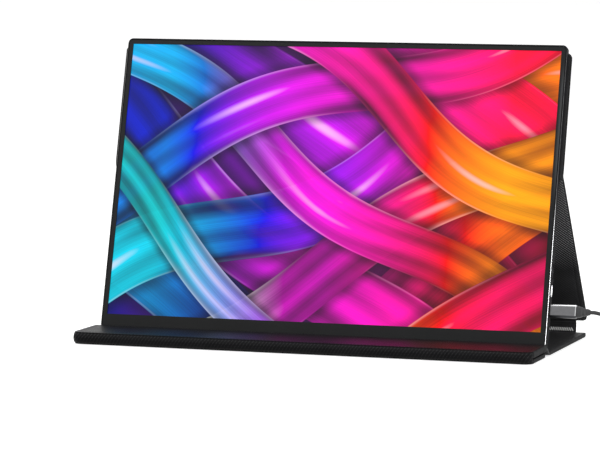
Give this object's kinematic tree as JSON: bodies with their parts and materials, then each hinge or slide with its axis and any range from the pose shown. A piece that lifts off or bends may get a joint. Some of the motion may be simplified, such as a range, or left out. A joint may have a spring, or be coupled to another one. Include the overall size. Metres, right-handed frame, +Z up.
{
  "type": "portable monitor with folding cover",
  "caption": "Thin portable monitor leaning on its folding leatherette cover, with hinged cover sections, side ports and keys, and a plugged-in cable.",
  "frame": {"origin": "middle of the object, without its cable, on the surface that the cover stands on", "axes": "+X to the right as seen by someone who looks at the screen, +Y back, +Z up"},
  "size_m": [0.526, 0.1909, 0.2293],
  "materials": {
    "cover_leather": "fine-grained black leatherette",
    "cover_lining": "black leatherette lining, slightly smoother",
    "stiffener": "tan fibreboard",
    "magnet": "plated magnet",
    "shell_metal": "dark anodised, bare bright chamfer at the front edge",
    "border_black": "smooth black border",
    "lit_screen": "lit colour picture under a smooth pane",
    "light_guide": "clear to white",
    "plate_steel": "plain sheet",
    "ribbon": "amber film",
    "circuit_board": "green solder resist",
    "screw": "plain steel",
    "port_metal": "bright plated",
    "jack_plastic": "black",
    "speaker_plastic": "black",
    "key_metal": "dark anodised",
    "boot_metal": "dark grey anodised with bright edges",
    "cable_rubber": "soft black jacket"
  },
  "bodies": {
    "base": {"base_leather": "cover_leather", "base_board": "stiffener", "base_lining": "cover_lining", "base_fold": "cover_leather"},
    "step": {"step_fold": "cover_leather"},
    "front_section": {"front_leather": "cover_leather", "front_board": "stiffener", "front_lining": "cover_lining", "front_magnets": "magnet", "front_fold": "cover_leather"},
    "tuck_flap": {"flap_leather": "cover_leather", "flap_board": "stiffener", "flap_lining": "cover_lining", "flap_magnets": "magnet"},
    "spine": {"spine_leather": "cover_leather", "spine_board": "stiffener", "spine_lining": "cover_lining", "leg_fold": "cover_leather"},
    "leg": {"leg_leather": "cover_leather", "leg_board": "stiffener", "leg_lining": "cover_lining", "upper_fold": "cover_leather"},
    "power_key": {"power_button": "key_metal"},
    "rocker_key": {"rocker": "key_metal"},
    "monitor": {"upper_leather": "cover_leather", "upper_board": "stiffener", "upper_lining": "cover_lining", "upper_magnets": "magnet", "rear_shell": "shell_metal", "screen_border": "border_black", "display_cell": "lit_screen", "light_guide": "light_guide", "steel_plate": "plate_steel", "display_ribbon": "ribbon", "main_board": "circuit_board", "board_screws": "screw", "port_lower": "port_metal", "port_upper": "port_metal", "video_port": "port_metal", "jack": "jack_plastic", "speakers": "speaker_plastic", "button_board": "circuit_board", "rocker_pin": "screw", "plug_tongue": "port_metal", "plug_boot": "boot_metal", "plug_relief": "cable_rubber", "cable_lead": "cable_rubber", "cable_coil": "cable_rubber", "cable_tail": "cable_rubber", "far_relief": "cable_rubber", "far_boot": "boot_metal", "far_tongue": "port_metal"}
  },
  "joints": [
    {"name": "spine_fold", "type": "hinge", "parent": "base", "child": "spine", "pos_m": [0, 0.09279, 0.0018], "axis": [-1, 0, 0], "range_deg": [0, 82]},
    {"name": "leg_fold_turn", "type": "hinge", "parent": "spine", "child": "leg", "pos_m": [0, 0.09418, 0.0117], "axis": [-1, 0, 0], "range_deg": [0, 43.47]},
    {"name": "screen_recline", "type": "hinge", "parent": "leg", "child": "monitor", "pos_m": [0, 0.00151, 0.13093], "axis": [1, 0, 0], "range_deg": [0, 47.47]},
    {"name": "flap_unfold", "type": "hinge", "parent": "front_section", "child": "tuck_flap", "pos_m": [0, -0.09418, 0.0037], "axis": [-1, 0, 0], "range_deg": [0, 180]},
    {"name": "step_lower", "type": "hinge", "parent": "base", "child": "step", "pos_m": [0, -0.03781, 0.0018], "axis": [1, 0, 0], "range_deg": [0, 46.67]},
    {"name": "front_level", "type": "hinge", "parent": "step", "child": "front_section", "pos_m": [0, -0.04158, 0.0058], "axis": [-1, 0, 0], "range_deg": [0, 46.67]},
    {"name": "power_press", "type": "slide", "parent": "monitor", "child": "power_key", "axis": [1, 0, 0], "range_m": [0, 0.00035], "stiffness_N_per_m": 900},
    {"name": "rocker_tilt", "type": "hinge", "parent": "monitor", "child": "rocker_key", "pos_m": [-0.1748, -0.02182, 0.04453], "axis": [0, 0.9641, -0.2656], "range_deg": [-2.5, 2.5], "stiffness_Nm_per_rad": 0.05}
  ],
  "couplings": [
    {"joint": "leg_fold_turn", "follows": "spine_fold", "ratio": 0.52995},
    {"joint": "screen_recline", "follows": "spine_fold", "ratio": 0.57873},
    {"joint": "step_lower", "follows": "flap_unfold", "ratio": 0.25921},
    {"joint": "front_level", "follows": "flap_unfold", "ratio": 0.25921}
  ]
}
